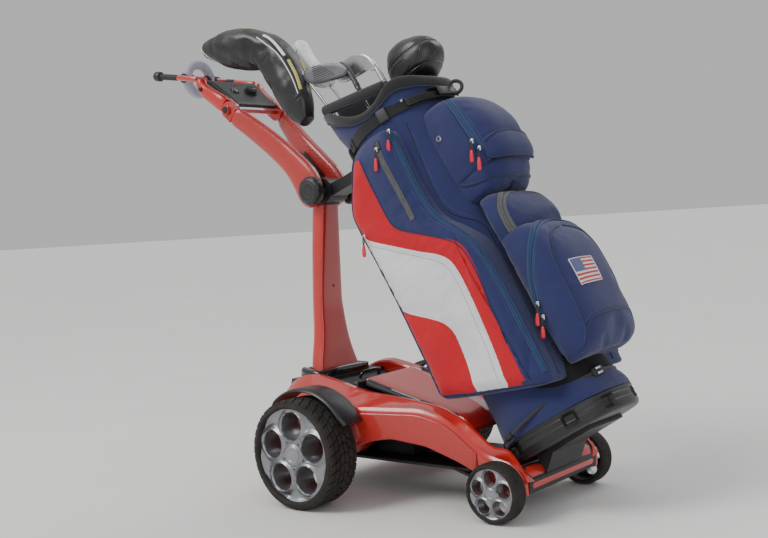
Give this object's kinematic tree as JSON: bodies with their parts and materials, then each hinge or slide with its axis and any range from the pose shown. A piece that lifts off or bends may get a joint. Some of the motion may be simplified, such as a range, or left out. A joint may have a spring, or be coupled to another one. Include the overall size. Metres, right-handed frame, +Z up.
{
  "type": "golf bag on push cart",
  "caption": "Full golf bag strapped to a powered four-wheel push cart, with folding handle, control console, clubs and pockets.",
  "frame": {"origin": "on the ground under the middle of the object's bounding box", "axes": "+X forward (towards the small wheels, the object's longest extent), +Y to the left, +Z up"},
  "size_m": [1.2924, 0.63, 1.1241],
  "materials": {
    "red_paint": "gloss over a fine carbon weave",
    "black_plastic": "fine grain",
    "tyre": "matt rubber",
    "rim": "satin",
    "steel": "turned",
    "chrome": "polished",
    "board": "solder mask",
    "soft_grip": "soft matt",
    "navy_fabric": "woven nylon",
    "cuff_fabric": "padded mesh",
    "cord": "braided",
    "strap": "serrated band",
    "cover_black": "glossy synthetic",
    "cover_white": "smooth synthetic",
    "pull": "moulded"
  },
  "bodies": {
    "chassis_and_bag": {"side_beam_right": "red_paint", "side_panel_right": "red_paint", "mudguard_right": "black_plastic", "gearmotor_right": "steel", "side_beam_left": "red_paint", "side_panel_left": "red_paint", "mudguard_left": "black_plastic", "gearmotor_left": "steel", "chassis_floor": "black_plastic", "mast_socket": "black_plastic", "deck_cover": "red_paint", "battery_pack": "black_plastic", "control_board": "board", "front_axle": "steel", "mast": "red_paint", "mast_head": "black_plastic", "hinge_pin": "steel", "bag_bracket": "black_plastic", "bag_cradle": "black_plastic", "bag_strap": "strap", "bungee_cord": "cord", "bag_tube": "navy_fabric", "bag_base": "black_plastic", "bag_cuff": "cuff_fabric", "club_dividers": "black_plastic", "side_pocket_right": "navy_fabric", "side_pocket_left": "navy_fabric", "ball_pocket": "navy_fabric", "upper_pocket": "navy_fabric"},
    "rear_wheel_right": {"rear_tyre_right": "tyre", "rear_rim_right": "rim", "drive_shaft_right": "steel"},
    "front_wheel_right": {"front_tyre_right": "tyre", "front_rim_right": "rim"},
    "rear_wheel_left": {"rear_tyre_left": "tyre", "rear_rim_left": "rim", "drive_shaft_left": "steel"},
    "front_wheel_left": {"front_tyre_left": "tyre", "front_rim_left": "rim"},
    "handle_lower": {"lower_arm_right": "red_paint", "lower_arm_left": "red_paint", "arm_web": "black_plastic"},
    "hinge_knob_right": {"hinge_knob_right": "black_plastic"},
    "hinge_knob_left": {"hinge_knob_left": "black_plastic"},
    "handle_upper": {"upper_arm_right": "red_paint", "upper_arm_left": "red_paint", "tilt_bar": "red_paint", "console": "black_plastic", "grip_frame": "red_paint", "grip_ring": "soft_grip"},
    "power_button": {"power_button": "strap"},
    "speed_dial": {"speed_dial": "black_plastic"},
    "zip_pull_side": {"zip_pull_side": "pull"},
    "zip_pull_upper": {"zip_pull_upper": "pull"},
    "zip_pull_ball": {"zip_pull_ball": "pull"},
    "driver": {"driver": "cover_black"},
    "fairway_wood": {"fairway_wood": "cover_white"},
    "iron_long": {"iron_long": "chrome"},
    "iron_short": {"iron_short": "chrome"},
    "putter": {"putter": "cover_black"}
  },
  "joints": [
    {"name": "rear_wheel_right_spin", "type": "hinge", "parent": "chassis_and_bag", "child": "rear_wheel_right", "pos_m": [-0.0088, -0.2685, 0.12173], "axis": [0, 1, 0], "continuous": true},
    {"name": "front_wheel_right_spin", "type": "hinge", "parent": "chassis_and_bag", "child": "front_wheel_right", "pos_m": [0.4362, -0.1795, 0.06222], "axis": [0, 1, 0], "continuous": true},
    {"name": "rear_wheel_left_spin", "type": "hinge", "parent": "chassis_and_bag", "child": "rear_wheel_left", "pos_m": [-0.0088, 0.2685, 0.12173], "axis": [0, 1, 0], "continuous": true},
    {"name": "front_wheel_left_spin", "type": "hinge", "parent": "chassis_and_bag", "child": "front_wheel_left", "pos_m": [0.4362, 0.1795, 0.06222], "axis": [0, 1, 0], "continuous": true},
    {"name": "handle_fold", "type": "hinge", "parent": "chassis_and_bag", "child": "handle_lower", "pos_m": [-0.1268, 0, 0.704], "axis": [0, 1, 0], "range_deg": [-35, 0]},
    {"name": "hinge_knob_right_turn", "type": "hinge", "parent": "chassis_and_bag", "child": "hinge_knob_right", "pos_m": [-0.1268, -0.07, 0.704], "axis": [0, 1, 0], "range_deg": [0, 90]},
    {"name": "hinge_knob_left_turn", "type": "hinge", "parent": "chassis_and_bag", "child": "hinge_knob_left", "pos_m": [-0.1268, 0.07, 0.704], "axis": [0, 1, 0], "range_deg": [0, 90]},
    {"name": "handle_tilt", "type": "hinge", "parent": "handle_lower", "child": "handle_upper", "pos_m": [-0.3768, 0, 0.925], "axis": [0, 1, 0], "range_deg": [-20, 10]},
    {"name": "power_button_press", "type": "slide", "parent": "handle_upper", "child": "power_button", "axis": [-0.6139, 0, -0.7894], "range_m": [0, 0.002], "stiffness_N_per_m": 400},
    {"name": "speed_dial_turn", "type": "hinge", "parent": "handle_upper", "child": "speed_dial", "pos_m": [-0.4203, 0.026, 0.9765], "axis": [0.6139, 0, 0.7894], "range_deg": [-135, 135]},
    {"name": "zip_pull_side_swing", "type": "hinge", "parent": "chassis_and_bag", "child": "zip_pull_side", "pos_m": [0.11046, -0.176, 0.5904], "axis": [0, 1, 0], "range_deg": [-35, 35]},
    {"name": "zip_pull_upper_swing", "type": "hinge", "parent": "chassis_and_bag", "child": "zip_pull_upper", "pos_m": [0.37025, -0.1, 0.77592], "axis": [0, 1, 0], "range_deg": [-35, 35]},
    {"name": "zip_pull_ball_swing", "type": "hinge", "parent": "chassis_and_bag", "child": "zip_pull_ball", "pos_m": [0.52561, -0.122, 0.43337], "axis": [0, 1, 0], "range_deg": [-35, 10]},
    {"name": "driver_draw", "type": "slide", "parent": "chassis_and_bag", "child": "driver", "axis": [-0.6494, 0, 0.7604], "range_m": [0, 0.7]},
    {"name": "fairway_wood_draw", "type": "slide", "parent": "chassis_and_bag", "child": "fairway_wood", "axis": [-0.6361, 0, 0.7716], "range_m": [0, 0.7]},
    {"name": "iron_long_draw", "type": "slide", "parent": "chassis_and_bag", "child": "iron_long", "axis": [-0.5075, 0, 0.8616], "range_m": [0, 0.7]},
    {"name": "iron_short_draw", "type": "slide", "parent": "chassis_and_bag", "child": "iron_short", "axis": [-0.5075, 0, 0.8616], "range_m": [0, 0.7]},
    {"name": "putter_draw", "type": "slide", "parent": "chassis_and_bag", "child": "putter", "axis": [-0.5075, 0, 0.8616], "range_m": [0, 0.7]}
  ]
}
